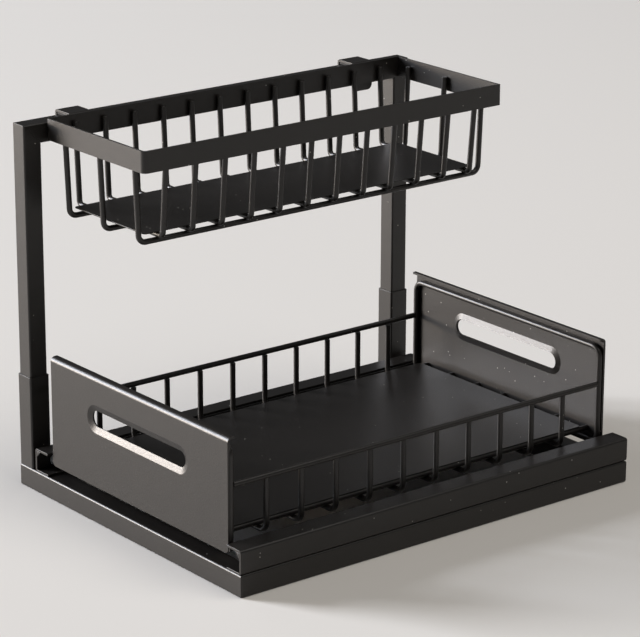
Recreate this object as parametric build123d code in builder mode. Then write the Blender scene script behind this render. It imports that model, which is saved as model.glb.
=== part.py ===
"""Pull-out cabinet basket: a steel base with two rails, a wire drawer that pulls out to the
left (-X) on rollers, and a smaller wire basket that hangs in front of a raised crossbar.

Millimetres. +X runs along the rails, +Y from the front rail to the rear, +Z up.
The origin is the middle of the bottom of the whole object's box.
"""

import os

from build123d import *

os.makedirs("parts", exist_ok=True)

# --- Driving dimensions -------------------------------------------------------------------
# Whole frame
FRAME_LENGTH = 430.0
FRAME_DEPTH = 327.0
FRAME_HEIGHT = 331.9
CLOSE_FIT = 0.1
WELD_GAP = 0.05

# Base tube, and the uprights that plug into its two sleeves
TUBE = 20.0
TUBE_WALL = 1.5
TUBE_CORNER = 1.2
PLUG_DEPTH = 12.0
POST = 17.6
POST_WALL = 1.2
POST_CORNER = 1.0
SLEEVE_HEIGHT = 84.7
POST_ENGAGEMENT = 60.0

# Rails: channels on top of the base, open towards the drawer
RAIL_HEIGHT = 21.5
RAIL_DEPTH = 19.4
RAIL_WALL = 2.2
RAIL_LIP = 1.8
RAIL_OUTER_BEND = 2.5
RAIL_INNER_BEND = 0.8
RAIL_TO_SLEEVE = 4.9
RAIL_CAP = 2.0
GUSSET_LEG = 5.5
GUSSET_THICKNESS = 2.0

# Rollers, their pins and the stops that limit the pull
DRAWER_TRAVEL = 300.0
ROLLER_RADIUS = 5.5
ROLLER_WIDTH = 5.5
ROLLER_FROM_LEFT = 18.7
ROLLER_LIFT = 0.4
WHEEL_RADIUS = 8.0
WHEEL_WIDTH = 8.0
WHEEL_FROM_DRAWER_END = 13.8
ROLLER_EDGE = 0.7
ROLLER_SIDE_GAP = 0.4
WHEEL_TO_RAIL_MOUTH = 0.45
ROLL_GAP = 0.2
PIN_RADIUS = 2.0
PIN_RUNNING_FIT = 0.06
PIN_HEAD_RADIUS = 3.2
PIN_HEAD = 0.8
STOP_THICKNESS = 3.0
STOP_TO_RUNNER = 1.0
STOP_WIDTH = 6.0
STOP_GAP = 0.3

# Runners: angles on the drawer that ride on the rail rollers
RUNNER_THICKNESS = 1.6
RUNNER_LEG_HEIGHT = 6.6
RUNNER_TO_WEB = 1.9
RUNNER_PLATE_TO_ROLLER = 4.7
RUNNER_END_SETBACK = 0.5
WHEEL_BRACKET = 14.0
WHEEL_BRACKET_EDGE = 4.0
WHEEL_TO_PLATE = 1.0

# Drawer
DRAWER_FROM_LEFT = 4.0
DRAWER_FROM_RIGHT = 9.2
WIRE = 5.0
RUNNER_TO_RAIL = 1.5
PANEL_BELOW_RUNNER = 2.4
PANEL_HEIGHT = 100.5
PANEL_SHEET = 2.0
PANEL_LIP = 7.0
PANEL_LIP_BEND = 4.5
PANEL_CORNER = 4.0
SLOT_LENGTH = 135.4
SLOT_HEIGHT = 14.5
SLOT_BELOW_TOP = 38.5
SLOT_DISH = 5.5
SLOT_DISH_DEPTH = 2.1
HOOP_BELOW_TOP = 9.0
HOOP_BEND = 9.0
RIB_COUNT = 10
RIB_TO_LEFT_PANEL = 44.8
RIB_TO_RIGHT_PANEL = 43.5
RIB_ABOVE_PANEL_BOTTOM = 6.5
RIB_HEIGHT = 50.9
RIB_END_OVER_WIRE = 0.6
RIB_BEND = 8.0
CROSS_WIRE_COUNT = 7
CROSS_WIRE_TO_PANEL_EDGE = 18.45
DRAWER_FLOOR_SHEET = 1.0
DRAWER_FLOOR_TO_LEFT_PANEL = 10.0
DRAWER_FLOOR_TO_RIGHT_PANEL = 10.8
DRAWER_FLOOR_TO_RIB = 9.5

# Hanging basket
HOOK_WIDTH = 22.4
HOOK_FROM_END = 58.4
HOOK_SHEET = 2.2
HOOK_BEND = 2.5
HOOK_INNER_BEND = 0.6
HOOK_CORNER = 5.0
HOOK_LEG_DROP = 22.7
HOOK_FRONT_PLAY = 0.2
HOOK_BACK_PLAY = 1.1
LINER = 2.1
LINER_INSET = 0.8
RIM_WIDTH = 144.1
RIM_FROM_LEFT = 23.5
RIM_FROM_RIGHT = 15.5
RIM_SHEET = 2.2
RIM_HEIGHT = 19.0
RIM_BELOW_HOOK = 0.2
RIM_BEND = 5.0
RIM_CORNER = 1.4
RIM_INNER_CORNER = 0.8
BASKET_RIB_COUNT = 12
BASKET_RIB_TO_RIM_END = 26.1
BASKET_RIB_BELOW_RIM = 6.0
BASKET_DEPTH = 79.0
BASKET_RIB_FRONT_TAPER = 6.6
BASKET_RIB_BACK_TAPER = 3.9
BASKET_RIB_BEND = 4.0
CRADLE_COUNT = 3
CRADLE_TO_RIM_SIDE = 20.35
CRADLE_TAPER = 3.2
CRADLE_BEND = 7.0
BASKET_FLOOR_SHEET = 1.0
BASKET_FLOOR_TO_LEFT_CRADLE = 0.3
BASKET_FLOOR_TO_RIGHT_CRADLE = 8.9
BASKET_FLOOR_TO_FRONT_RIB = 5.1
BASKET_FLOOR_TO_BACK_RIB = 13.7

# --- Places that follow from them ---------------------------------------------------------
wire_radius = WIRE / 2
left_x = -FRAME_LENGTH / 2
right_x = FRAME_LENGTH / 2
sleeve_wall = (TUBE - POST) / 2 - CLOSE_FIT
sleeve_top = TUBE + SLEEVE_HEIGHT

# Depth, from the front face of the base back to the hooks' rear legs
crossbar_inset = (TUBE - POST) / 2
crossbar_back_offset = FRAME_DEPTH - crossbar_inset
overall_depth = crossbar_back_offset + HOOK_BACK_PLAY + HOOK_SHEET
front_y = -overall_depth / 2
back_y = front_y + FRAME_DEPTH
crossbar_back_y = back_y - crossbar_inset
crossbar_front_y = crossbar_back_y - POST
sleeve_front_y = back_y - TUBE

# Rails
rail_rear_y = sleeve_front_y - RAIL_TO_SLEEVE
rail_mid_y = (front_y + rail_rear_y) / 2
rail_half_span = (rail_rear_y - front_y) / 2
rail_bottom = TUBE
rail_top = TUBE + RAIL_HEIGHT
rail_cavity_bottom = rail_bottom + RAIL_LIP
rail_cavity_top = rail_top - RAIL_WALL

# Drawer's ends and sides
drawer_left_x = left_x + DRAWER_FROM_LEFT
drawer_right_x = right_x - DRAWER_FROM_RIGHT
panel_half_width = rail_half_span - RAIL_DEPTH - RUNNER_TO_RAIL - RUNNER_THICKNESS

# Rollers on the rails, with the runners on them, and wheels on the drawer
roller_x = left_x + ROLLER_FROM_LEFT
roller_z = rail_cavity_bottom + ROLLER_LIFT + ROLLER_RADIUS
runner_bottom = roller_z + ROLLER_RADIUS + ROLL_GAP
runner_leg_top = runner_bottom + RUNNER_LEG_HEIGHT
wheel_x = drawer_right_x - WHEEL_FROM_DRAWER_END
wheel_z = rail_cavity_bottom + ROLL_GAP + WHEEL_RADIUS
wheel_bracket_bottom = wheel_z - PIN_RADIUS - WHEEL_BRACKET_EDGE
stop_bottom = runner_bottom + RUNNER_THICKNESS + STOP_TO_RUNNER
wheel_rise = stop_bottom - wheel_z
wheel_half_chord = (WHEEL_RADIUS**2 - wheel_rise**2) ** 0.5

# Drawer's heights, hoops and ribs
panel_bottom = runner_bottom - PANEL_BELOW_RUNNER
panel_top = panel_bottom + PANEL_HEIGHT
slot_z = panel_top - SLOT_BELOW_TOP
hoop_inset = PANEL_SHEET + WELD_GAP + wire_radius
hoop_half_width = panel_half_width - wire_radius
hoop_left_x = drawer_left_x + hoop_inset
hoop_right_x = drawer_right_x - hoop_inset
hoop_bottom = panel_bottom + wire_radius
hoop_top = panel_top - HOOP_BELOW_TOP
rib_half_width = hoop_half_width - WIRE - WELD_GAP
rib_bottom = panel_bottom + RIB_ABOVE_PANEL_BOTTOM
rib_top = rib_bottom + RIB_HEIGHT
side_wire_z = rib_top + RIB_END_OVER_WIRE
first_rib_x = drawer_left_x + RIB_TO_LEFT_PANEL
rib_pitch = (drawer_right_x - RIB_TO_RIGHT_PANEL - first_rib_x) / (RIB_COUNT - 1)
cross_wire_z = rib_bottom + WIRE + WELD_GAP
cross_wire_half_span = panel_half_width - CROSS_WIRE_TO_PANEL_EDGE
drawer_floor_bottom = cross_wire_z + wire_radius + WELD_GAP

# Hanging basket
hook_front_y = crossbar_front_y - HOOK_FRONT_PLAY - HOOK_SHEET
hook_back_y = crossbar_back_y + HOOK_BACK_PLAY + HOOK_SHEET
hook_under = FRAME_HEIGHT + LINER
hook_top = hook_under + HOOK_SHEET
hook_leg_bottom = FRAME_HEIGHT - HOOK_LEG_DROP
hook_x = right_x - HOOK_FROM_END
rim_top = hook_top - RIM_BELOW_HOOK
rim_back_y = hook_front_y
rim_front_y = rim_back_y - RIM_WIDTH
rim_mid_y = (rim_front_y + rim_back_y) / 2
rim_left_x = left_x + RIM_FROM_LEFT
rim_right_x = right_x - RIM_FROM_RIGHT
rim_length = rim_right_x - rim_left_x
rim_mid_x = (rim_left_x + rim_right_x) / 2
rim_to_wire = RIM_SHEET + WELD_GAP + wire_radius
basket_rib_top = rim_top - BASKET_RIB_BELOW_RIM
basket_rib_bottom = rim_top - BASKET_DEPTH
basket_rib_pitch = (rim_length - 2 * BASKET_RIB_TO_RIM_END) / (BASKET_RIB_COUNT - 1)
cradle_bottom = basket_rib_bottom - WIRE - WELD_GAP
cradle_pitch = (RIM_WIDTH - 2 * CRADLE_TO_RIM_SIDE) / (CRADLE_COUNT - 1)
basket_floor_bottom = basket_rib_bottom + wire_radius + WELD_GAP


def save(piece: Part, node: str) -> None:
    """Label a finished piece and write it as one STEP file."""
    piece.label = node
    export_step(piece, f"parts/{node}.step")


def square_tube(plane: Plane, side: float, wall: float, corner: float) -> Sketch:
    """Section of a square tube with rounded corners, centred on the plane."""
    with BuildSketch(plane) as section:
        RectangleRounded(side, side, corner)
        bore = side - 2 * wall
        RectangleRounded(bore, bore, max(corner - wall, wall / 3), mode=Mode.SUBTRACT)
    return section.sketch


def rim_outline(length: float, width: float, bend: float, corner: float) -> Sketch:
    """Rectangle with one bend radius at its front left and another at its other corners."""
    with BuildSketch() as outline:
        Rectangle(length, width)
        corners = outline.vertices().sort_by(Axis((0, 0, 0), (1, 1, 0)))
        fillet(corners[1:], radius=corner)
        front_left = outline.vertices().sort_by(Axis((0, 0, 0), (1, 1, 0)))[0]
        fillet(front_left, radius=bend)
    return outline.sketch


def wire_along(path: Wire) -> Part:
    """Round wire swept along a path of straight runs and arcs."""
    with BuildPart() as swept:
        with BuildSketch(Plane(origin=path @ 0, z_dir=path % 0)):
            Circle(wire_radius)
        sweep(path=path)
    return swept.part


# --- Base ring: two legs, a mitred front bar and a back bar -------------------------------
base_length = back_y - front_y
for node, side in (("base_leg_left", -1), ("base_leg_right", 1)):
    leg_x = side * (right_x - TUBE / 2)
    leg_start = Plane(origin=(leg_x, front_y, TUBE / 2), x_dir=(1, 0, 0), z_dir=(0, 1, 0))
    mitre = Plane(origin=(side * right_x, front_y, 0), z_dir=(side, 1, 0))
    with BuildPart() as base_leg:
        extrude(square_tube(leg_start, TUBE, TUBE_WALL, TUBE_CORNER), amount=base_length)
        split(bisect_by=mitre, keep=Keep.TOP)
    save(base_leg.part, node)

with BuildPart() as base_front_bar:
    bar_start = Plane(origin=(left_x, front_y + TUBE / 2, TUBE / 2), x_dir=(0, 1, 0), z_dir=(1, 0, 0))
    extrude(square_tube(bar_start, TUBE, TUBE_WALL, TUBE_CORNER), amount=FRAME_LENGTH)
    for side in (-1, 1):
        mitre = Plane(origin=(side * right_x, front_y, 0), z_dir=(side, 1, 0))
        split(bisect_by=mitre, keep=Keep.BOTTOM)
save(base_front_bar.part, "base_front_bar")

with BuildPart() as base_back_bar:
    bar_start = Plane(
        origin=(left_x + TUBE, back_y - TUBE / 2, TUBE / 2), x_dir=(0, 1, 0), z_dir=(1, 0, 0)
    )
    extrude(square_tube(bar_start, TUBE, TUBE_WALL, TUBE_CORNER), amount=FRAME_LENGTH - 2 * TUBE)
save(base_back_bar.part, "base_back_bar")

# Plastic plugs close the open rear ends of the two legs.
with BuildPart() as leg_end_plugs:
    plug_side = TUBE - 2 * TUBE_WALL - 2 * CLOSE_FIT
    with BuildSketch(Plane(origin=(0, back_y - PLUG_DEPTH, 0), x_dir=(1, 0, 0), z_dir=(0, 1, 0))):
        with Locations((left_x + TUBE / 2, -TUBE / 2), (right_x - TUBE / 2, -TUBE / 2)):
            RectangleRounded(plug_side, plug_side, TUBE_CORNER)
    extrude(amount=PLUG_DEPTH)
save(leg_end_plugs.part, "leg_end_plugs")

# --- Sleeves on the base, posts plugged into them, and the mitred crossbar ----------------
for end, side in (("left", -1), ("right", 1)):
    upright_x = side * (right_x - TUBE / 2)
    upright_y = back_y - TUBE / 2
    sleeve_foot = Plane.XY.move(Location((upright_x, upright_y, TUBE)))
    with BuildPart() as sleeve:
        extrude(square_tube(sleeve_foot, TUBE, sleeve_wall, TUBE_CORNER), amount=SLEEVE_HEIGHT)
    save(sleeve.part, f"sleeve_{end}")

    post_foot_z = sleeve_top - POST_ENGAGEMENT
    post_foot = Plane.XY.move(Location((upright_x, upright_y, post_foot_z)))
    outer_corner = (side * (right_x - crossbar_inset), upright_y, FRAME_HEIGHT)
    with BuildPart() as post:
        extrude(square_tube(post_foot, POST, POST_WALL, POST_CORNER), amount=FRAME_HEIGHT - post_foot_z)
        split(bisect_by=Plane(origin=outer_corner, z_dir=(side, 0, -1)), keep=Keep.TOP)
    save(post.part, f"post_{end}")

with BuildPart() as crossbar:
    crossbar_length = FRAME_LENGTH - 2 * crossbar_inset
    bar_start = Plane(
        origin=(-crossbar_length / 2, crossbar_back_y - POST / 2, FRAME_HEIGHT - POST / 2),
        x_dir=(0, 1, 0),
        z_dir=(1, 0, 0),
    )
    extrude(square_tube(bar_start, POST, POST_WALL, POST_CORNER), amount=crossbar_length)
    for side in (-1, 1):
        outer_corner = (side * crossbar_length / 2, crossbar_back_y, FRAME_HEIGHT)
        split(bisect_by=Plane(origin=outer_corner, z_dir=(side, 0, -1)), keep=Keep.BOTTOM)
save(crossbar.part, "crossbar")

# --- Rails, with a corner gusset at the open end and the two stops under the top flange ---
stop_pull_x = wheel_x - DRAWER_TRAVEL - wheel_half_chord - STOP_GAP - STOP_THICKNESS
stop_push_x = wheel_x + wheel_half_chord + STOP_GAP
wheel_near_y = panel_half_width + RUNNER_THICKNESS + RUNNER_TO_RAIL + WHEEL_TO_RAIL_MOUTH
wheel_mid_y = wheel_near_y + WHEEL_WIDTH / 2
for node, side in (("rail_front", -1), ("rail_rear", 1)):
    web_y = rail_mid_y + side * rail_half_span
    web_inner_y = web_y - side * RAIL_WALL
    mouth_y = web_y - side * RAIL_DEPTH
    web_column = 0 if side < 0 else -1
    inner_column = 1 if side < 0 else -2
    with BuildPart() as rail:
        with BuildSketch(Plane.YZ.offset(left_x)) as channel:
            with BuildLine():
                Polyline(
                    (web_y, rail_bottom),
                    (mouth_y, rail_bottom),
                    (mouth_y, rail_cavity_bottom),
                    (web_inner_y, rail_cavity_bottom),
                    (web_inner_y, rail_cavity_top),
                    (mouth_y, rail_cavity_top),
                    (mouth_y, rail_top),
                    (web_y, rail_top),
                    close=True,
                )
            make_face()
            columns = channel.vertices().group_by(Axis.X)
            fillet(columns[web_column], radius=RAIL_OUTER_BEND)
            columns = channel.vertices().group_by(Axis.X)
            inner_corners = [v for group in columns for v in group if abs(v.X - web_inner_y) < CLOSE_FIT]
            fillet(inner_corners, radius=RAIL_INNER_BEND)
        extrude(amount=FRAME_LENGTH)
        with BuildSketch(Plane.YZ.offset(left_x)):
            with BuildLine():
                Polyline(
                    (web_inner_y, rail_cavity_top),
                    (web_inner_y - side * GUSSET_LEG, rail_cavity_top),
                    (web_inner_y, rail_cavity_top - GUSSET_LEG),
                    close=True,
                )
            make_face()
        extrude(amount=GUSSET_THICKNESS)
        for stop_x in (stop_pull_x, stop_push_x):
            with BuildSketch(Plane.YZ.offset(stop_x)):
                with Locations((rail_mid_y + side * wheel_mid_y, (stop_bottom + rail_cavity_top) / 2)):
                    Rectangle(STOP_WIDTH, rail_cavity_top - stop_bottom)
            extrude(amount=STOP_THICKNESS)
    save(rail.part, node)

with BuildPart() as rail_end_caps:
    cap_width = RAIL_DEPTH - RAIL_WALL
    cap_height = rail_cavity_top - rail_cavity_bottom
    with BuildSketch(Plane.YZ.offset(right_x - RAIL_CAP)):
        for side in (-1, 1):
            cap_y = rail_mid_y + side * (rail_half_span - RAIL_WALL - cap_width / 2)
            with Locations((cap_y, rail_cavity_bottom + cap_height / 2)):
                RectangleRounded(cap_width, cap_height, RAIL_INNER_BEND + CLOSE_FIT)
    extrude(amount=RAIL_CAP)
save(rail_end_caps.part, "rail_end_caps")

# --- Rollers on the rails and wheels on the drawer, each on its own headed pin ------------
roller_far_y = rail_half_span - RAIL_WALL - ROLLER_SIDE_GAP
roller_near_y = roller_far_y - ROLLER_WIDTH
bore_radius = PIN_RADIUS + PIN_RUNNING_FIT
for end, side in (("front", -1), ("rear", 1)):
    roller_plane = Plane(
        origin=(roller_x, rail_mid_y + side * roller_near_y, roller_z), x_dir=(1, 0, 0), z_dir=(0, side, 0)
    )
    with BuildPart() as roller:
        with BuildSketch(roller_plane):
            Circle(ROLLER_RADIUS)
            Circle(bore_radius, mode=Mode.SUBTRACT)
        extrude(amount=ROLLER_WIDTH)
        fillet(roller.edges().filter_by(GeomType.CIRCLE).sort_by(SortBy.RADIUS)[-2:], radius=ROLLER_EDGE)
    save(roller.part, f"rail_roller_{end}")

    wheel_plane = Plane(
        origin=(wheel_x, rail_mid_y + side * wheel_near_y, wheel_z), x_dir=(1, 0, 0), z_dir=(0, side, 0)
    )
    with BuildPart() as wheel:
        with BuildSketch(wheel_plane):
            Circle(WHEEL_RADIUS)
            Circle(bore_radius, mode=Mode.SUBTRACT)
        extrude(amount=WHEEL_WIDTH)
        fillet(wheel.edges().filter_by(GeomType.CIRCLE).sort_by(SortBy.RADIUS)[-2:], radius=ROLLER_EDGE)
    save(wheel.part, f"drawer_roller_{end}")

with BuildPart() as rail_roller_pins:
    head_y = roller_near_y - ROLLER_SIDE_GAP
    for side in (-1, 1):
        web_face = Plane(
            origin=(roller_x, rail_mid_y + side * (rail_half_span - RAIL_WALL), roller_z),
            x_dir=(1, 0, 0),
            z_dir=(0, -side, 0),
        )
        with BuildSketch(web_face):
            Circle(PIN_RADIUS)
        extrude(amount=rail_half_span - RAIL_WALL - head_y)
        with BuildSketch(web_face.offset(rail_half_span - RAIL_WALL - head_y)):
            Circle(PIN_HEAD_RADIUS)
        extrude(amount=PIN_HEAD)
save(rail_roller_pins.part, "rail_roller_pins")

with BuildPart() as drawer_roller_pins:
    pin_root_y = panel_half_width + RUNNER_THICKNESS
    pin_length = wheel_near_y + WHEEL_WIDTH + ROLLER_SIDE_GAP - pin_root_y
    for side in (-1, 1):
        bracket_face = Plane(
            origin=(wheel_x, rail_mid_y + side * pin_root_y, wheel_z), x_dir=(1, 0, 0), z_dir=(0, side, 0)
        )
        with BuildSketch(bracket_face):
            Circle(PIN_RADIUS)
        extrude(amount=pin_length)
        with BuildSketch(bracket_face.offset(pin_length)):
            Circle(PIN_HEAD_RADIUS)
        extrude(amount=PIN_HEAD)
save(drawer_roller_pins.part, "drawer_roller_pins")

# --- Runners: an angle along each side of the drawer, with the wheel's bracket ------------
plate_left_x = roller_x - RUNNER_PLATE_TO_ROLLER
plate_right_x = wheel_x - WHEEL_RADIUS - WHEEL_TO_PLATE
leg_left_x = drawer_left_x + RUNNER_END_SETBACK
leg_right_x = drawer_right_x - RUNNER_END_SETBACK
runner_reach = rail_half_span - RAIL_WALL - RUNNER_TO_WEB - panel_half_width
for node, side in (("runner_front", -1), ("runner_rear", 1)):
    leg_y = rail_mid_y + side * (panel_half_width + RUNNER_THICKNESS / 2)
    plate_y = rail_mid_y + side * (panel_half_width + runner_reach / 2)
    with BuildPart() as runner:
        with BuildSketch(Plane.XY.offset(runner_bottom)):
            with Locations(((plate_left_x + plate_right_x) / 2, plate_y)):
                Rectangle(plate_right_x - plate_left_x, runner_reach)
        extrude(amount=RUNNER_THICKNESS)
        with BuildSketch(Plane.XY.offset(runner_bottom)):
            with Locations(((leg_left_x + leg_right_x) / 2, leg_y)):
                Rectangle(leg_right_x - leg_left_x, RUNNER_THICKNESS)
        extrude(amount=RUNNER_LEG_HEIGHT)
        with BuildSketch(Plane.XY.offset(wheel_bracket_bottom)):
            with Locations((wheel_x, leg_y)):
                Rectangle(WHEEL_BRACKET, RUNNER_THICKNESS)
        extrude(amount=runner_leg_top - wheel_bracket_bottom)
    save(runner.part, node)

# --- Drawer end panels: a sheet with its top edge turned inwards and its hand slot dished --------
panel_back_y = rail_mid_y + panel_half_width
mouth_length = SLOT_LENGTH + 2 * SLOT_DISH
mouth_height = SLOT_HEIGHT + 2 * SLOT_DISH
dish_wall = PANEL_SHEET * (1 + (SLOT_DISH_DEPTH / SLOT_DISH) ** 2) ** 0.5
dish_widening = (dish_wall - PANEL_SHEET) * SLOT_DISH / SLOT_DISH_DEPTH
for node, outer_x, inward in (
    ("drawer_panel_left", drawer_left_x, 1),
    ("drawer_panel_right", drawer_right_x, -1),
):
    inner_x = outer_x + inward * PANEL_SHEET
    with BuildPart() as panel:
        with BuildSketch(Plane.XZ.offset(-panel_back_y)) as bent_sheet:
            with BuildLine():
                Polyline(
                    (outer_x, panel_bottom),
                    (outer_x, panel_top),
                    (outer_x + inward * PANEL_LIP, panel_top),
                    (outer_x + inward * PANEL_LIP, panel_top - PANEL_SHEET),
                    (inner_x, panel_top - PANEL_SHEET),
                    (inner_x, panel_bottom),
                    close=True,
                )
            make_face()
            outer_bend = [
                v
                for v in bent_sheet.vertices()
                if abs(v.Y - panel_top) < CLOSE_FIT and abs(v.X - outer_x) < CLOSE_FIT
            ]
            fillet(outer_bend, radius=PANEL_LIP_BEND)
            inner_bend = [
                v
                for v in bent_sheet.vertices()
                if abs(v.Y - panel_top + PANEL_SHEET) < CLOSE_FIT and abs(v.X - inner_x) < CLOSE_FIT
            ]
            fillet(inner_bend, radius=PANEL_LIP_BEND - PANEL_SHEET)
        extrude(amount=2 * panel_half_width)
        fillet(panel.edges().filter_by(Axis.X).group_by(Axis.Z)[0], radius=PANEL_CORNER)
        slot_centre = (outer_x, rail_mid_y, slot_z)
        slot_plane = Plane(origin=slot_centre, x_dir=(0, 1, 0), z_dir=(inward, 0, 0))
        with BuildSketch(slot_plane.offset(PANEL_SHEET)):
            SlotOverall(mouth_length + 2 * dish_widening, mouth_height + 2 * dish_widening)
        with BuildSketch(slot_plane.offset(SLOT_DISH_DEPTH + dish_wall)):
            SlotOverall(SLOT_LENGTH, SLOT_HEIGHT)
        loft(ruled=True)
        with BuildSketch(slot_plane):
            SlotOverall(mouth_length, mouth_height)
        with BuildSketch(slot_plane.offset(SLOT_DISH_DEPTH)):
            SlotOverall(SLOT_LENGTH, SLOT_HEIGHT)
        loft(ruled=True, mode=Mode.SUBTRACT)
        with BuildSketch(slot_plane):
            SlotOverall(SLOT_LENGTH, SLOT_HEIGHT)
        extrude(amount=SLOT_DISH_DEPTH + dish_wall, mode=Mode.SUBTRACT)
    save(panel.part, node)

# --- Wire hoop inside each end panel ------------------------------------------------------
for node, hoop_x in (("drawer_hoop_left", hoop_left_x), ("drawer_hoop_right", hoop_right_x)):
    with BuildLine(Plane.YZ.offset(hoop_x)) as hoop_path:
        FilletPolyline(
            (rail_mid_y - hoop_half_width, hoop_bottom),
            (rail_mid_y + hoop_half_width, hoop_bottom),
            (rail_mid_y + hoop_half_width, hoop_top),
            (rail_mid_y - hoop_half_width, hoop_top),
            radius=HOOP_BEND,
            close=True,
        )
    save(wire_along(hoop_path.wire()), node)

# --- Side wires from hoop to hoop ---------------------------------------------------------
side_wire_start = hoop_left_x + wire_radius + WELD_GAP
side_wire_end = hoop_right_x - wire_radius - WELD_GAP
for node, side in (("drawer_side_wire_front", -1), ("drawer_side_wire_rear", 1)):
    with BuildPart() as side_wire:
        with BuildSketch(Plane.YZ.offset(side_wire_start)):
            with Locations((rail_mid_y + side * hoop_half_width, side_wire_z)):
                Circle(wire_radius)
        extrude(amount=side_wire_end - side_wire_start)
    save(side_wire.part, node)

# --- Drawer ribs: U-shaped wires across the drawer ----------------------------------------
for i in range(RIB_COUNT):
    rib_x = first_rib_x + i * rib_pitch
    with BuildLine(Plane.YZ.offset(rib_x)) as rib_path:
        FilletPolyline(
            (rail_mid_y - rib_half_width, rib_top),
            (rail_mid_y - rib_half_width, rib_bottom),
            (rail_mid_y + rib_half_width, rib_bottom),
            (rail_mid_y + rib_half_width, rib_top),
            radius=RIB_BEND,
        )
    save(wire_along(rib_path.wire()), f"drawer_rib_{i + 1:02d}")

# --- Wires along the drawer's bottom, from panel to panel ---------------------------------
with BuildPart() as drawer_cross_wires:
    with BuildSketch(Plane.YZ.offset(drawer_left_x + PANEL_SHEET)):
        for i in range(CROSS_WIRE_COUNT):
            cross_wire_y = rail_mid_y + (2 * i / (CROSS_WIRE_COUNT - 1) - 1) * cross_wire_half_span
            with Locations((cross_wire_y, cross_wire_z)):
                Circle(wire_radius)
    extrude(amount=drawer_right_x - drawer_left_x - 2 * PANEL_SHEET)
save(drawer_cross_wires.part, "drawer_cross_wires")

# --- Drawer floor sheet -------------------------------------------------------------------
with BuildPart() as drawer_floor:
    floor_left_x = drawer_left_x + DRAWER_FLOOR_TO_LEFT_PANEL
    floor_right_x = drawer_right_x - DRAWER_FLOOR_TO_RIGHT_PANEL
    with BuildSketch(Plane.XY.offset(drawer_floor_bottom)):
        with Locations(((floor_left_x + floor_right_x) / 2, rail_mid_y)):
            Rectangle(floor_right_x - floor_left_x, 2 * (rib_half_width - DRAWER_FLOOR_TO_RIB))
    extrude(amount=DRAWER_FLOOR_SHEET)
save(drawer_floor.part, "drawer_floor")

# --- Hanging basket: rim strip, bent at its front left corner and welded at the others ----
with BuildPart() as basket_rim:
    with BuildSketch(Plane.XY.offset(rim_top - RIM_HEIGHT)):
        with Locations((rim_mid_x, rim_mid_y)):
            add(rim_outline(rim_length, RIM_WIDTH, RIM_BEND, RIM_CORNER))
            rim_opening = rim_outline(
                rim_length - 2 * RIM_SHEET, RIM_WIDTH - 2 * RIM_SHEET, RIM_BEND - RIM_SHEET, RIM_INNER_CORNER
            )
            add(rim_opening, mode=Mode.SUBTRACT)
    extrude(amount=RIM_HEIGHT)
save(basket_rim.part, "basket_rim")

# --- Basket ribs: tapering U-shaped wires from front to back ------------------------------
rib_front_y = rim_front_y + rim_to_wire
rib_back_y = rim_back_y - rim_to_wire
for i in range(BASKET_RIB_COUNT):
    rib_x = rim_mid_x + (i - (BASKET_RIB_COUNT - 1) / 2) * basket_rib_pitch
    with BuildLine(Plane.YZ.offset(rib_x)) as rib_path:
        FilletPolyline(
            (rib_front_y, basket_rib_top),
            (rib_front_y + BASKET_RIB_FRONT_TAPER, basket_rib_bottom),
            (rib_back_y - BASKET_RIB_BACK_TAPER, basket_rib_bottom),
            (rib_back_y, basket_rib_top),
            radius=BASKET_RIB_BEND,
        )
    save(wire_along(rib_path.wire()), f"basket_rib_{i + 1:02d}")

# --- Basket cradles: three long U-shaped wires under the ribs -----------------------------
for i in range(CRADLE_COUNT):
    cradle_y = rim_mid_y + (i - (CRADLE_COUNT - 1) / 2) * cradle_pitch
    with BuildLine(Plane.XZ.offset(-cradle_y)) as cradle_path:
        FilletPolyline(
            (rim_left_x + rim_to_wire, basket_rib_top),
            (rim_left_x + rim_to_wire + CRADLE_TAPER, cradle_bottom),
            (rim_right_x - rim_to_wire - CRADLE_TAPER, cradle_bottom),
            (rim_right_x - rim_to_wire, basket_rib_top),
            radius=CRADLE_BEND,
        )
    save(wire_along(cradle_path.wire()), f"basket_cradle_{i + 1}")

# --- Basket floor sheet -------------------------------------------------------------------
with BuildPart() as basket_floor:
    cradle_inset = rim_to_wire + CRADLE_TAPER + wire_radius
    floor_left_x = rim_left_x + cradle_inset + BASKET_FLOOR_TO_LEFT_CRADLE
    floor_right_x = rim_right_x - cradle_inset - BASKET_FLOOR_TO_RIGHT_CRADLE
    floor_front_y = rib_front_y + BASKET_RIB_FRONT_TAPER + BASKET_FLOOR_TO_FRONT_RIB
    floor_back_y = rib_back_y - BASKET_RIB_BACK_TAPER - BASKET_FLOOR_TO_BACK_RIB
    with BuildSketch(Plane.XY.offset(basket_floor_bottom)):
        with Locations(((floor_left_x + floor_right_x) / 2, (floor_front_y + floor_back_y) / 2)):
            Rectangle(floor_right_x - floor_left_x, floor_back_y - floor_front_y)
    extrude(amount=BASKET_FLOOR_SHEET)
save(basket_floor.part, "basket_floor")

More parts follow.
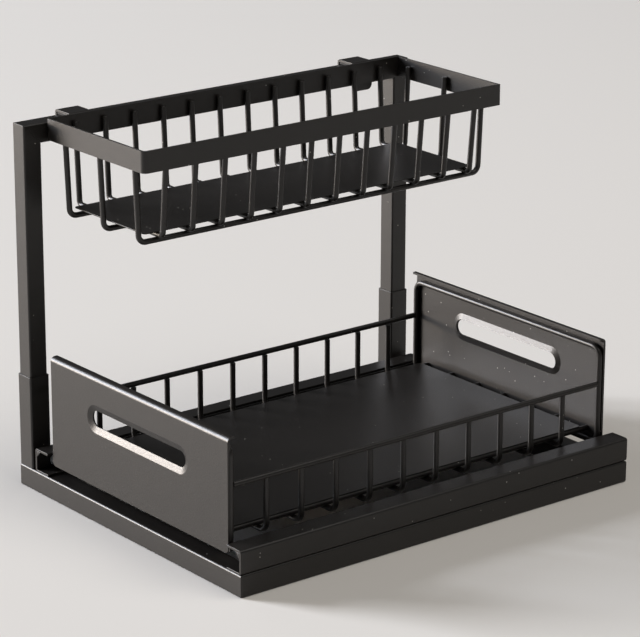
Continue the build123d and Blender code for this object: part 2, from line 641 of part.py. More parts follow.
# --- Hooks over the crossbar, with the soft liner that rests on it ------------------------
for node, side in (("hook_left", -1), ("hook_right", 1)):
    hook_start_x = side * hook_x - HOOK_WIDTH / 2
    with BuildPart() as hook:
        with BuildSketch(Plane.YZ.offset(hook_start_x)) as strap:
            with BuildLine():
                Polyline(
                    (hook_front_y, hook_leg_bottom),
                    (hook_front_y, hook_top),
                    (hook_back_y, hook_top),
                    (hook_back_y, hook_leg_bottom),
                    (hook_back_y - HOOK_SHEET, hook_leg_bottom),
                    (hook_back_y - HOOK_SHEET, hook_under),
                    (hook_front_y + HOOK_SHEET, hook_under),
                    (hook_front_y + HOOK_SHEET, hook_leg_bottom),
                    close=True,
                )
            make_face()
            fillet(strap.vertices().group_by(Axis.Y)[-1], radius=HOOK_BEND)
            fillet([v for v in strap.vertices() if abs(v.Y - hook_under) < CLOSE_FIT], radius=HOOK_INNER_BEND)
        extrude(amount=HOOK_WIDTH)
        fillet(hook.edges().filter_by(Axis.Y).group_by(Axis.Z)[0], radius=HOOK_CORNER)
    save(hook.part, node)

with BuildPart() as hook_liners:
    liner_width = hook_back_y - hook_front_y - 2 * (HOOK_SHEET + LINER_INSET)
    with BuildSketch(Plane.XY.offset(FRAME_HEIGHT)):
        for side in (-1, 1):
            with Locations((side * hook_x, (hook_front_y + hook_back_y) / 2)):
                Rectangle(HOOK_WIDTH - LINER_INSET, liner_width)
    extrude(amount=LINER)
save(hook_liners.part, "hook_liners")
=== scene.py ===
"""Looks of the pull-out cabinet basket: a powder-coated steel base with two rails, a wire
drawer that rolls out to the left, and a wire basket that hangs from the raised crossbar.

Metres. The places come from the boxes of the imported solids. Sheet, wall, bend and edge
sizes are given in millimetres in each class.
"""

import logging
import math
from dataclasses import dataclass
from enum import Enum
from typing import Optional, Sequence

import bmesh
import bpy
from mathutils import Matrix, Vector


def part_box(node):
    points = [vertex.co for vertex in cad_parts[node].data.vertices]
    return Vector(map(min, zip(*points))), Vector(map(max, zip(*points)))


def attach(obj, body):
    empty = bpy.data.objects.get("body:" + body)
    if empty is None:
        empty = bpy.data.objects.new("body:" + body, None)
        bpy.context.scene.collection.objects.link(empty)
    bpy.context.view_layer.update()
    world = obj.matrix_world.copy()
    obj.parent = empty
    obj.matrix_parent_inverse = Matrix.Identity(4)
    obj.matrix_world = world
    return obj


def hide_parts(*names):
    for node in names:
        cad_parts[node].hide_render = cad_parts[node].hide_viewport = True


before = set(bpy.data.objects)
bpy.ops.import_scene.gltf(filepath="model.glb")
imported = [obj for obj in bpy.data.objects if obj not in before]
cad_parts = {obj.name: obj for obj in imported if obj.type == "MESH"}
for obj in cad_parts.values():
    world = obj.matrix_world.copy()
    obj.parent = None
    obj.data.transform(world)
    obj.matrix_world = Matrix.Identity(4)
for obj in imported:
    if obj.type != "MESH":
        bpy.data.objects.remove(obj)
LOG = logging.getLogger("basket")
MM = 0.001
# Width of the softened edges of thin flat sheet, in millimetres.
SHEET_EDGE = 0.25
Outline = list[tuple[float, float]]
Mesh = bmesh.types.BMesh
Ring = list[bmesh.types.BMVert]
# A cutting plane: a point on it and its normal.
Plane = tuple[Vector, Vector]


class Body(Enum):
    """Bodies that move as one."""

    FRAME = "frame"
    DRAWER = "drawer"
    BASKET = "hanging_basket"


class Axis(Enum):
    """Which way an outline is drawn out: (its u axis, its v axis, the way of drawing)."""

    X = (Vector((0, 1, 0)), Vector((0, 0, 1)), Vector((1, 0, 0)))
    Y = (Vector((1, 0, 0)), Vector((0, 0, 1)), Vector((0, 1, 0)))
    Z = (Vector((1, 0, 0)), Vector((0, 1, 0)), Vector((0, 0, 1)))


# --- Finishes ---


def linear(colour: str) -> tuple[float, float, float, float]:
    """Turns an sRGB hex colour into linear values.

    Args:
        colour: Six hex digits, such as "1c1a18".

    Returns:
        Red, green, blue and an alpha of 1.
    """
    parts = [int(colour[i : i + 2], 16) / 255 for i in (0, 2, 4)]
    lin = [c / 12.92 if c <= 0.04045 else ((c + 0.055) / 1.055) ** 2.4 for c in parts]
    return (lin[0], lin[1], lin[2], 1.0)


def add_node(
    tree: bpy.types.NodeTree,
    kind: str,
    settings: Optional[dict] = None,
    values: Optional[dict] = None,
    links: Optional[dict] = None,
) -> bpy.types.Node:
    """Adds a node with its settings, its socket values and its incoming links.

    Args:
        tree: The tree that gets the node.
        kind: The node's type name.
        settings: Properties of the node.
        values: Values by input socket, by name or number.
        links: Output sockets by input socket, by name or number.

    Returns:
        The new node.
    """
    node = tree.nodes.new(kind)
    for key, value in (settings or {}).items():
        setattr(node, key, value)
    for key, value in (values or {}).items():
        node.inputs[key].default_value = value
    for key, output in (links or {}).items():
        tree.links.new(output, node.inputs[key])
    return node


def new_material(name: str) -> tuple[bpy.types.Material, bpy.types.Node]:
    """Makes a material that holds a Principled shader alone.

    Args:
        name: The finish it is named for.

    Returns:
        The material and its shader node.
    """
    material = bpy.data.materials.new(name)
    material.use_nodes = True
    tree = material.node_tree
    tree.nodes.clear()
    shader = add_node(tree, "ShaderNodeBsdfPrincipled")
    add_node(tree, "ShaderNodeOutputMaterial", links={"Surface": shader.outputs[0]})
    return material, shader


@dataclass(frozen=True)
class PowderCoat:
    """Fine-textured black polyester powder coat, oven-cured on steel.

    To the eye: a deep warm black with a soft satin sheen and a fine orange peel that breaks
    up the highlights. A few light and dark specks are painted into its colour: painted
    glints and painted shade where the grain catches the light or falls into shade. Pattern
    sizes in millimetres.
    """

    name: str = "powder_coat_black"
    colour: str = "1d1a17"
    shade: str = "14110f"
    # Painted glint colour (light) and painted shade colour (dark) of the specks in the
    # grain.
    painted_glint_colour: str = "b9b5ae"
    painted_shade_speck_colour: str = "040404"
    roughness: float = 0.4
    specular: float = 0.5
    cloud: float = 18.0
    peel: float = 1.4
    peel_depth: float = 0.035
    grain: float = 0.7
    # Spacing and shares of the painted glint and painted shade specks.
    painted_speck_spacing: float = 7.0
    painted_glint_share: float = 0.22
    # Share of the specks painted as shade in the grain.
    painted_shade_share: float = 0.12

    def build(self) -> bpy.types.Material:
        """Builds the material.

        Returns:
            The material.
        """
        material, shader = new_material(self.name)
        tree = material.node_tree
        place = add_node(tree, "ShaderNodeTexCoord").outputs["Object"]
        cloud, peel, grain = (
            add_node(
                tree,
                "ShaderNodeTexNoise",
                values={"Scale": 1 / (size * MM), "Detail": detail, "Roughness": rough},
                links={"Vector": place},
            )
            for size, detail, rough in (
                (self.cloud, 4.0, 0.6),
                (self.peel, 2.0, 0.55),
                (self.grain, 1.0, 0.5),
            )
        )
        base = add_node(
            tree,
            "ShaderNodeMix",
            settings={"data_type": "RGBA"},
            values={6: linear(self.shade), 7: linear(self.colour)},
            links={0: cloud.outputs["Fac"]},
        )
        # Painted glints and painted shade: light and dark specks put into the base colour
        # where the grain catches the light or falls into shade. The real ones are 0.3 mm
        # wide. These are drawn
        # 1 mm wide so that they show.
        painted_speck_cells = add_node(
            tree,
            "ShaderNodeTexVoronoi",
            values={"Scale": 1 / (self.painted_speck_spacing * MM), "Randomness": 1.0},
            links={"Vector": place},
        )
        dot = add_node(
            tree,
            "ShaderNodeMapRange",
            values={"From Min": 0.055, "From Max": 0.085, "To Min": 1.0, "To Max": 0.0},
            links={"Value": painted_speck_cells.outputs["Distance"]},
        )
        chance = add_node(
            tree, "ShaderNodeSeparateColor", links={"Color": painted_speck_cells.outputs["Color"]}
        )
        coat_with_painted_specks = base
        # Painted glints in light grey first, then painted shade specks in near black.
        for colour, share, channel in (
            (self.painted_glint_colour, self.painted_glint_share, 0),
            (self.painted_shade_speck_colour, self.painted_shade_share, 1),
        ):
            chosen = add_node(
                tree,
                "ShaderNodeMath",
                settings={"operation": "LESS_THAN"},
                values={1: share},
                links={0: chance.outputs[channel]},
            )
            here = add_node(
                tree,
                "ShaderNodeMath",
                settings={"operation": "MULTIPLY"},
                links={0: chosen.outputs[0], 1: dot.outputs["Result"]},
            )
            coat_with_painted_specks = add_node(
                tree,
                "ShaderNodeMix",
                settings={"data_type": "RGBA"},
                values={7: linear(colour)},
                links={0: here.outputs[0], 6: coat_with_painted_specks.outputs[2]},
            )
        tree.links.new(coat_with_painted_specks.outputs[2], shader.inputs["Base Color"])
        sheen = add_node(
            tree,
            "ShaderNodeMapRange",
            values={
                "From Min": 0.3,
                "From Max": 0.7,
                "To Min": self.roughness - 0.05,
                "To Max": self.roughness + 0.06,
            },
            links={"Value": grain.outputs["Fac"]},
        )
        tree.links.new(sheen.outputs["Result"], shader.inputs["Roughness"])
        shader.inputs["Specular IOR Level"].default_value = self.specular
        fine = add_node(
            tree,
            "ShaderNodeBump",
            values={"Strength": 0.6, "Distance": self.peel_depth * MM},
            links={"Height": grain.outputs["Fac"]},
        )
        broad = add_node(
            tree,
            "ShaderNodeBump",
            values={"Strength": 0.8, "Distance": 2.5 * self.peel_depth * MM},
            links={"Height": peel.outputs["Fac"], "Normal": fine.outputs["Normal"]},
        )
        tree.links.new(broad.outputs["Normal"], shader.inputs["Normal"])
        return material


@dataclass(frozen=True)
class MouldedPlastic:
    """Injection-moulded plastic or rubber, from a spark-eroded mould.

    To the eye: an even colour with a slight cloud and a fine dull grain. Pattern sizes in
    millimetres.
    """

    name: str
    colour: str
    roughness: float
    ior: float
    cloud: float = 6.0
    grain: float = 0.5
    grain_depth: float = 0.02

    def build(self) -> bpy.types.Material:
        """Builds the material.

        Returns:
            The material.
        """
        material, shader = new_material(self.name)
        tree = material.node_tree
        place = add_node(tree, "ShaderNodeTexCoord").outputs["Object"]
        cloud = add_node(
            tree,
            "ShaderNodeTexNoise",
            values={"Scale": 1 / (self.cloud * MM), "Detail": 3.0},
            links={"Vector": place},
        )
        tone = add_node(
            tree, "ShaderNodeHueSaturation", values={"Color": linear(self.colour)}
        )
        level = add_node(
            tree,
            "ShaderNodeMapRange",
            values={"To Min": 0.85, "To Max": 1.15},
            links={"Value": cloud.outputs["Fac"]},
        )
        tree.links.new(level.outputs["Result"], tone.inputs["Value"])
        tree.links.new(tone.outputs["Color"], shader.inputs["Base Color"])
        grain = add_node(
            tree,
            "ShaderNodeTexNoise",
            values={"Scale": 1 / (self.grain * MM), "Detail": 2.0},
            links={"Vector": place},
        )
        bump = add_node(
            tree,
            "ShaderNodeBump",
            values={"Strength": 0.4, "Distance": self.grain_depth * MM},
            links={"Height": grain.outputs["Fac"]},
        )
        tree.links.new(bump.outputs["Normal"], shader.inputs["Normal"])
        shader.inputs["Roughness"].default_value = self.roughness
        shader.inputs["IOR"].default_value = self.ior
        return material


@dataclass(frozen=True)
class PlatedSteel:
    """Zinc-plated turned steel.

    To the eye: pale grey metal whose fine turning marks, in millimetres, blur its gloss.
    """

    name: str = "zinc_plated_steel"
    colour: str = "a9a8a4"
    roughness: float = 0.34
    marks: float = 0.4

    def build(self) -> bpy.types.Material:
        """Builds the material.

        Returns:
            The material.
        """
        material, shader = new_material(self.name)
        tree = material.node_tree
        place = add_node(tree, "ShaderNodeTexCoord").outputs["Object"]
        marks = add_node(
            tree,
            "ShaderNodeTexNoise",
            values={"Scale": 1 / (self.marks * MM), "Detail": 3.0},
            links={"Vector": place},
        )
        gloss = add_node(
            tree,
            "ShaderNodeMapRange",
            values={"To Min": self.roughness - 0.1, "To Max": self.roughness + 0.14},
            links={"Value": marks.outputs["Fac"]},
        )
        tree.links.new(gloss.outputs["Result"], shader.inputs["Roughness"])
        shader.inputs["Base Color"].default_value = linear(self.colour)
        shader.inputs["Metallic"].default_value = 1.0
        return material


class Finish(Enum):
    """The finishes of the object."""

    COAT = PowderCoat()
    PLUG = MouldedPlastic("moulded_polyethylene_black", "16150f", 0.5, 1.5)
    ROLLER = MouldedPlastic("moulded_nylon_grey", "8d9296", 0.4, 1.53)
    STEEL = PlatedSteel()
    LINER = MouldedPlastic("soft_rubber_black", "0f0e0d", 0.75, 1.5)

    def material(self) -> bpy.types.Material:
        """The finish's material, built once."""
        made = bpy.data.materials.get(self.value.name)
        return made or self.value.build()


# --- Mesh tools ---


def rounded(points: Sequence[tuple[float, float, float]], steps: int = 6) -> Outline:
    """Rounds the corners of an outline.

    Args:
        points: Corners as (u, v, bend radius).
        steps: Edges in each bend.

    Returns:
        The outline's points in the same turn.
    """
    out: Outline = []
    count = len(points)
    for i, (u, v, radius) in enumerate(points):
        here = Vector((u, v))
        if radius <= 0:
            out.append((u, v))
            continue
        back = (Vector(points[i - 1][:2]) - here).normalized()
        ahead = (Vector(points[(i + 1) % count][:2]) - here).normalized()
        angle = back.angle(ahead)
        reach = radius / math.tan(angle / 2)
        start, end = here + back * reach, here + ahead * reach
        centre = here + (back + ahead).normalized() * (radius / math.sin(angle / 2))
        first, last = start - centre, end - centre
        sweep = math.pi - angle
        for k in range(steps + 1):
            t = k / steps * sweep
            spot = first * math.sin(sweep - t) + last * math.sin(t)
            out.append(tuple(centre + spot / math.sin(sweep)))
    return out


def rectangle(
    u0: float, u1: float, v0: float, v1: float, radius: float, steps: int = 5
) -> Outline:
    """The outline of a rectangle from u0 to u1 and v0 to v1, with rounded corners."""
    corners = ((u0, v0), (u1, v0), (u1, v1), (u0, v1))
    return rounded([(u, v, radius) for u, v in corners], steps)


def ring_of(bm: Mesh, outline: Outline, axis: Axis, cut: Plane) -> Ring:
    """Puts an outline's points on a cutting plane.

    Args:
        bm: The mesh that gets the points.
        outline: The outline across the axis.
        axis: The way of drawing.
        cut: The cutting plane.

    Returns:
        The points as mesh vertices.
    """
    u_dir, v_dir, way = axis.value
    spot, normal = cut
    ring = []
    for u, v in outline:
        foot = u_dir * u + v_dir * v
        reach = (spot - foot).dot(normal) / way.dot(normal)
        ring.append(bm.verts.new(foot + way * reach))
    return ring


def join_rings(bm: Mesh, first: Ring, second: Ring) -> None:
    """Closes the band between two rings of the same count.

    Args:
        bm: The mesh.
        first: One ring.
        second: The other ring.
    """
    count = len(first)
    for i in range(count):
        j = (i + 1) % count
        bm.faces.new((first[i], first[j], second[j], second[i]))


def draw_out(
    bm: Mesh,
    outline: Outline,
    axis: Axis,
    start: Plane,
    end: Plane,
    bore: Optional[Outline] = None,
) -> None:
    """Draws an outline out between two cutting planes, solid or with a bore.

    Args:
        bm: The mesh that gets the bar.
        outline: The outer outline.
        axis: The way of drawing.
        start: Cutting plane at the near end.
        end: Cutting plane at the far end.
        bore: The inner outline, with as many points, or None for a solid bar.
    """
    outer = [ring_of(bm, outline, axis, cut) for cut in (start, end)]
    join_rings(bm, outer[0], outer[1])
    if bore is None:
        bm.faces.new(outer[0])
        bm.faces.new(outer[1])
        return
    inner = [ring_of(bm, bore, axis, cut) for cut in (start, end)]
    join_rings(bm, inner[0], inner[1])
    for k in (0, 1):
        join_rings(bm, outer[k], inner[k])


def square_end(axis: Axis, at: float) -> Plane:
    """A plane square to an axis, at a place along it."""
    way = axis.value[2]
    return way * at, way.copy()


def extrude(
    bm: Mesh, outline: Outline, axis: Axis, near: float, far: float
) -> None:
    """Draws an outline out between two square ends, near and far along the axis."""
    draw_out(bm, outline, axis, square_end(axis, near), square_end(axis, far))


def block(bm: Mesh, low: Vector, high: Vector) -> None:
    """Adds a plain block between its lowest and its highest corner."""
    outline = [(low.y, low.z), (high.y, low.z), (high.y, high.z), (low.y, high.z)]
    extrude(bm, outline, Axis.X, low.x, high.x)


def lathe(
    bm: Mesh, centre: Vector, way: Vector, section: Outline, steps: int = 48
) -> None:
    """Turns a closed section about an axis.

    Args:
        bm: The mesh that gets the turned piece.
        centre: Where the axis starts.
        way: The axis direction.
        section: Points as (radius, distance along the axis), closed.
        steps: Facets round the axis.
    """
    side = way.orthogonal().normalized()
    up = way.cross(side).normalized()
    turns = [2 * math.pi * k / steps for k in range(steps)]
    spokes = [side * math.cos(turn) + up * math.sin(turn) for turn in turns]
    rings = [
        [bm.verts.new(centre + way * along + spoke * radius) for spoke in spokes]
        for radius, along in section
    ]
    for i, ring in enumerate(rings):
        join_rings(bm, ring, rings[(i + 1) % len(rings)])


def box(node: str) -> tuple[Vector, Vector]:
    """A solid's lowest and highest corner."""
    low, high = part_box(node)
    return Vector(low), Vector(high)


@dataclass
class Piece:
    """One finished piece: what it is, what it moves with and what it stands for."""

    name: str
    body: str
    nodes: tuple[str, ...]
    slot: str
    finish: Finish

    def place(self, mesh: bpy.types.Mesh) -> bpy.types.Object:
        """Puts a mesh in the scene as this piece, without any modifier.

        Args:
            mesh: The piece's mesh, in place.

        Returns:
            The object.
        """
        mesh.materials.clear()
        mesh.materials.append(self.finish.material())
        made = bpy.data.objects.new(self.name, mesh)
        bpy.context.scene.collection.objects.link(made)
        return made

    def register(self, made: bpy.types.Object) -> bpy.types.Object:
        """Attaches a finished object to its body and hides and logs the solids it stands
        for.

        Args:
            made: The object.

        Returns:
            The same object.
        """
        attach(made, self.body)
        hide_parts(*self.nodes)
        LOG.info("%s rides on %s for %s", self.name, self.body, ", ".join(self.nodes))
        return made

    def build(
        self,
        bm: Mesh,
        edge: float,
        sheet: float = 0.0,
    ) -> bpy.types.Object:
        """Finishes a mesh: even normals, a sheet's thickness and softened edges.

        Args:
            bm: The mesh, which is freed.
            edge: Width of the softened edges in millimetres.
            sheet: Thickness in millimetres, behind faces that already point outwards, or 0
                for a closed mesh.

        Returns:
            The piece's object.
        """
        bmesh.ops.remove_doubles(bm, verts=bm.verts, dist=0.002 * MM)
        if not sheet:
            bmesh.ops.recalc_face_normals(bm, faces=bm.faces)
        mesh = bpy.data.meshes.new(self.name)
        bm.to_mesh(mesh)
        bm.free()
        mesh.shade_smooth()
        made = self.place(mesh)
        if sheet:
            wall = made.modifiers.new("sheet", "SOLIDIFY")
            wall.thickness = sheet * MM
            wall.offset = -1.0
            wall.use_even_offset = True
        soften(made, edge)
        return self.register(made)


def soften(made: bpy.types.Object, edge: float, angle: float = 40.0) -> None:
    """Softens sharp edges and evens the shading.

    Args:
        made: The object.
        edge: Width in millimetres.
        angle: Edges sharper than this many degrees are softened.
    """
    if edge:
        bevel = made.modifiers.new("soft_edges", "BEVEL")
        bevel.width = edge * MM
        bevel.segments = 3
        bevel.limit_method = "ANGLE"
        bevel.angle_limit = math.radians(angle)
        bevel.use_clamp_overlap = True
    weighted = made.modifiers.new("even_shading", "WEIGHTED_NORMAL")
    weighted.weight = 80
    weighted.keep_sharp = True


# --- Bent wires ---


class WireBender:
    """Geometry Nodes that bend a wire along a path, round its corners and repeat it."""

    FACETS = 20
    BEND_STEPS = 8
    # The wires' cut ends: width of the softened edge in millimetres, and least angle.
    END_EDGE = 0.6
    END_ANGLE = 60.0
    INPUTS: tuple[tuple[str, str], ...] = (
        ("Path", "NodeSocketGeometry"),
        ("Wire Radius", "NodeSocketFloat"),
        ("Bend Radius", "NodeSocketFloat"),
        ("Count", "NodeSocketInt"),
        ("Step", "NodeSocketVector"),
        ("Finish", "NodeSocketMaterial"),
    )

    def __init__(self) -> None:
        """Builds the tree once."""
        tree = bpy.data.node_groups.new("bent_wires", "GeometryNodeTree")
        self.tree = tree
        for name, kind in self.INPUTS:
            tree.interface.new_socket(name, in_out="INPUT", socket_type=kind)
        shape = "NodeSocketGeometry"
        tree.interface.new_socket("Wires", in_out="OUTPUT", socket_type=shape)
        given = add_node(tree, "NodeGroupInput").outputs
        path = add_node(tree, "GeometryNodeMeshToCurve", links={"Mesh": given["Path"]})
        bent = add_node(
            tree,
            "GeometryNodeFilletCurve",
            settings={"mode": "POLY"},
            values={"Count": self.BEND_STEPS},
            links={"Curve": path.outputs[0], "Radius": given["Bend Radius"]},
        )
        section = add_node(
            tree,
            "GeometryNodeCurvePrimitiveCircle",
            values={"Resolution": self.FACETS},
            links={"Radius": given["Wire Radius"]},
        )
        wire = add_node(
            tree,
            "GeometryNodeCurveToMesh",
            values={"Fill Caps": True},
            links={"Curve": bent.outputs[0], "Profile Curve": section.outputs[0]},
        )
        row = add_node(
            tree,
            "GeometryNodeMeshLine",
            links={"Count": given["Count"], "Offset": given["Step"]},
        )
        copies = add_node(
            tree,
            "GeometryNodeInstanceOnPoints",
            links={"Points": row.outputs[0], "Instance": wire.outputs[0]},
        )
        real = add_node(tree, "GeometryNodeRealizeInstances", links={0: copies.outputs[0]})
        coated = add_node(
            tree,
            "GeometryNodeSetMaterial",
            links={"Geometry": real.outputs[0], "Material": given["Finish"]},
        )
        add_node(tree, "NodeGroupOutput", links={0: coated.outputs[0]})

    def bend(
        self,
        piece: Piece,
        path: Sequence[Vector],
        radius: float,
        bend: float = 0.0,
        count: int = 1,
        step: Vector = Vector((0, 0, 0)),
        closed: bool = False,
    ) -> bpy.types.Object:
        """Makes a row of equal wires as one plain mesh.

        Args:
            piece: The piece that the wires are.
            path: Corners of the first wire's centre line.
            radius: The wire's radius.
            bend: Bend radius of the centre line at the corners.
            count: How many wires.
            step: From one wire to the next.
            closed: Whether the path is a closed hoop.

        Returns:
            The piece's object.
        """
        line = bpy.data.meshes.new(piece.name + "_path")
        pairs = [(i, i + 1) for i in range(len(path) - 1)]
        if closed:
            pairs.append((len(path) - 1, 0))
        line.from_pydata([tuple(p) for p in path], pairs, [])
        holder = bpy.data.objects.new(piece.name + "_path", line)
        bpy.context.scene.collection.objects.link(holder)
        nodes = holder.modifiers.new("wires", "NODES")
        nodes.node_group = self.tree
        sizes = {
            "Wire Radius": radius,
            "Bend Radius": bend,
            "Count": count,
            "Step": tuple(step),
            "Finish": piece.finish.material(),
        }
        for item in self.tree.interface.items_tree:
            if item.in_out == "INPUT" and item.name in sizes:
                nodes[item.identifier] = sizes[item.name]
        graph = bpy.context.evaluated_depsgraph_get()
        mesh = bpy.data.meshes.new_from_object(holder.evaluated_get(graph))
        mesh.name = piece.name
        bpy.data.objects.remove(holder)
        bm = bmesh.new()
        bm.from_mesh(mesh)
        bmesh.ops.remove_doubles(bm, verts=bm.verts, dist=0.001 * MM)
        bmesh.ops.recalc_face_normals(bm, faces=bm.faces)
        bm.to_mesh(mesh)
        bm.free()
        mesh.shade_smooth()
        made = piece.place(mesh)
        soften(made, self.END_EDGE, self.END_ANGLE)
        return piece.register(made)


# --- What the sub-assemblies share ---


@dataclass(kw_only=True)
class SubAssembly:
    """Pieces that move as one body and share a slot, which are the frame's by default."""

    body: Body = Body.FRAME
    slot: str = "frame_powder_coat"

    def piece(
        self, name: str, *nodes: str, like: Optional[tuple[str, Finish]] = None
    ) -> Piece:
        """A piece of this sub-assembly, coated unless another slot and finish are named."""
        slot, finish = like or (self.slot, Finish.COAT)
        return Piece(name, self.body.value, nodes, slot, finish)


@dataclass(kw_only=True)
class WireTray(SubAssembly):
    """What drawer and basket share: rows of U-shaped wires and a floor. Millimetres."""

    bender: WireBender
    floor_corner: float = 3.0

    def u_row(
        self,
        name: str,
        nodes: Sequence[str],
        axis: Axis,
        ends: tuple[float, float],
        radius: float,
        bend: float,
        tapers: tuple[float, float] = (0.0, 0.0),
    ) -> None:
        """Bends an even row of U-shaped wires.

        Args:
            name: The piece's name.
            nodes: The solids in order.
            axis: The row's direction, square to each wire.
            ends: Where the two ends of each wire lie across the row, in metres.
            radius: The wire's radius in metres.
            bend: Bend radius at the feet.
            tapers: How far each of the two legs leans in.
        """
        low, high = box(nodes[0])
        u_dir, v_dir, way = axis.value
        foot, middle = low.z + radius, (low + high).dot(way) / 2
        corners = (
            (ends[0], high.z),
            (ends[0] + tapers[0] * MM, foot),
            (ends[1] - tapers[1] * MM, foot),
            (ends[1], high.z),
        )
        self.bender.bend(
            self.piece(name, *nodes),
            [way * middle + u_dir * u + v_dir * v for u, v in corners],
            radius,
            bend * MM,
            len(nodes),
            way * ((box(nodes[-1])[0] - low).dot(way) / (len(nodes) - 1)),
        )

    def floor_sheet(self, name: str, node: str) -> None:
        """Builds a floor sheet with softly rounded corners.

        Args:
            name: The piece's name.
            node: Its solid.
        """
        low, high = box(node)
        bm = bmesh.new()
        outline = rectangle(low.x, high.x, low.y, high.y, self.floor_corner * MM)
        extrude(bm, outline, Axis.Z, low.z, high.z)
        self.piece(name, node).build(bm, SHEET_EDGE)


# --- The base, uprights and rails ---


@dataclass(frozen=True)
class SquareTube:
    """The section of a square tube: its wall and its outer corner radius. Millimetres."""

    wall: float
    corner: float


@dataclass(kw_only=True)
class BaseFrame(SubAssembly):
    """The welded base ring, its sleeves, the two posts and the crossbar. Millimetres."""

    width: float = 20.0
    base: SquareTube = SquareTube(wall=1.5, corner=1.8)
    sleeve: SquareTube = SquareTube(wall=1.1, corner=1.8)
    post: SquareTube = SquareTube(wall=1.2, corner=1.5)
    seam: float = 0.35
    plug_play: float = 0.2
    plug_corner: float = 1.2
    plug_edge: float = 0.8

    def bar(
        self,
        name: str,
        node: str,
        axis: Axis,
        tube: SquareTube,
        start: Optional[Plane] = None,
        end: Optional[Plane] = None,
    ) -> None:
        """Builds a square tube in the box of its solid.

        Args:
            name: The piece's name.
            node: The solid.
            axis: The tube's length.
            tube: Its section.
            start: Cutting plane at its near end, or None for a square end.
            end: Cutting plane at its far end, or None for a square end.
        """
        low, high = box(node)
        u_dir, v_dir, way = axis.value
        u0, u1, v0, v1 = low.dot(u_dir), high.dot(u_dir), low.dot(v_dir), high.dot(v_dir)
        wall = tube.wall * MM
        bore_corner = max(tube.corner - tube.wall, tube.wall / 3) * MM
        bm = bmesh.new()
        draw_out(
            bm,
            rectangle(u0, u1, v0, v1, tube.corner * MM),
            axis,
            start or square_end(axis, low.dot(way)),
            end or square_end(axis, high.dot(way)),
            rectangle(u0 + wall, u1 - wall, v0 + wall, v1 - wall, bore_corner),
        )
        self.piece(name, node).build(bm, self.seam)

    def build(self) -> None:
        """Builds every tube of the frame."""
        left, right = box("base_leg_left")[0], box("base_leg_right")[1]
        cut_left = (Vector((left.x, left.y, 0)), Vector((-1, 1, 0)))
        cut_right = (Vector((right.x, left.y, 0)), Vector((1, 1, 0)))
        self.bar("leg_left", "base_leg_left", Axis.Y, self.base, start=cut_left)
        self.bar("leg_right", "base_leg_right", Axis.Y, self.base, start=cut_right)
        self.bar("front_bar", "base_front_bar", Axis.X, self.base, cut_left, cut_right)
        self.bar("back_bar", "base_back_bar", Axis.X, self.base)
        for end in ("left", "right"):
            self.bar(f"{end}_sleeve", f"sleeve_{end}", Axis.Z, self.sleeve)
        low, high = box("crossbar")
        left_mitre = (Vector((low.x, 0, high.z)), Vector((-1, 0, -1)))
        right_mitre = (Vector((high.x, 0, high.z)), Vector((1, 0, -1)))
        self.bar("left_post", "post_left", Axis.Z, self.post, end=left_mitre)
        self.bar("right_post", "post_right", Axis.Z, self.post, end=right_mitre)
        self.bar("upper_crossbar", "crossbar", Axis.X, self.post, left_mitre, right_mitre)
        self.plugs()

    def plugs(self) -> None:
        """Builds the plugs in the rear ends of the two legs."""
        low, high = box("leg_end_plugs")
        side = (self.width - 2 * self.base.wall - self.plug_play) * MM
        bm = bmesh.new()
        for x in (low.x, high.x - side):
            outline = rectangle(x, x + side, low.z, low.z + side, self.plug_corner * MM)
            extrude(bm, outline, Axis.Y, low.y, high.y)
        plugs = self.piece("leg_plugs", "leg_end_plugs", like=("plug_plastic", Finish.PLUG))
        plugs.build(bm, self.plug_edge)


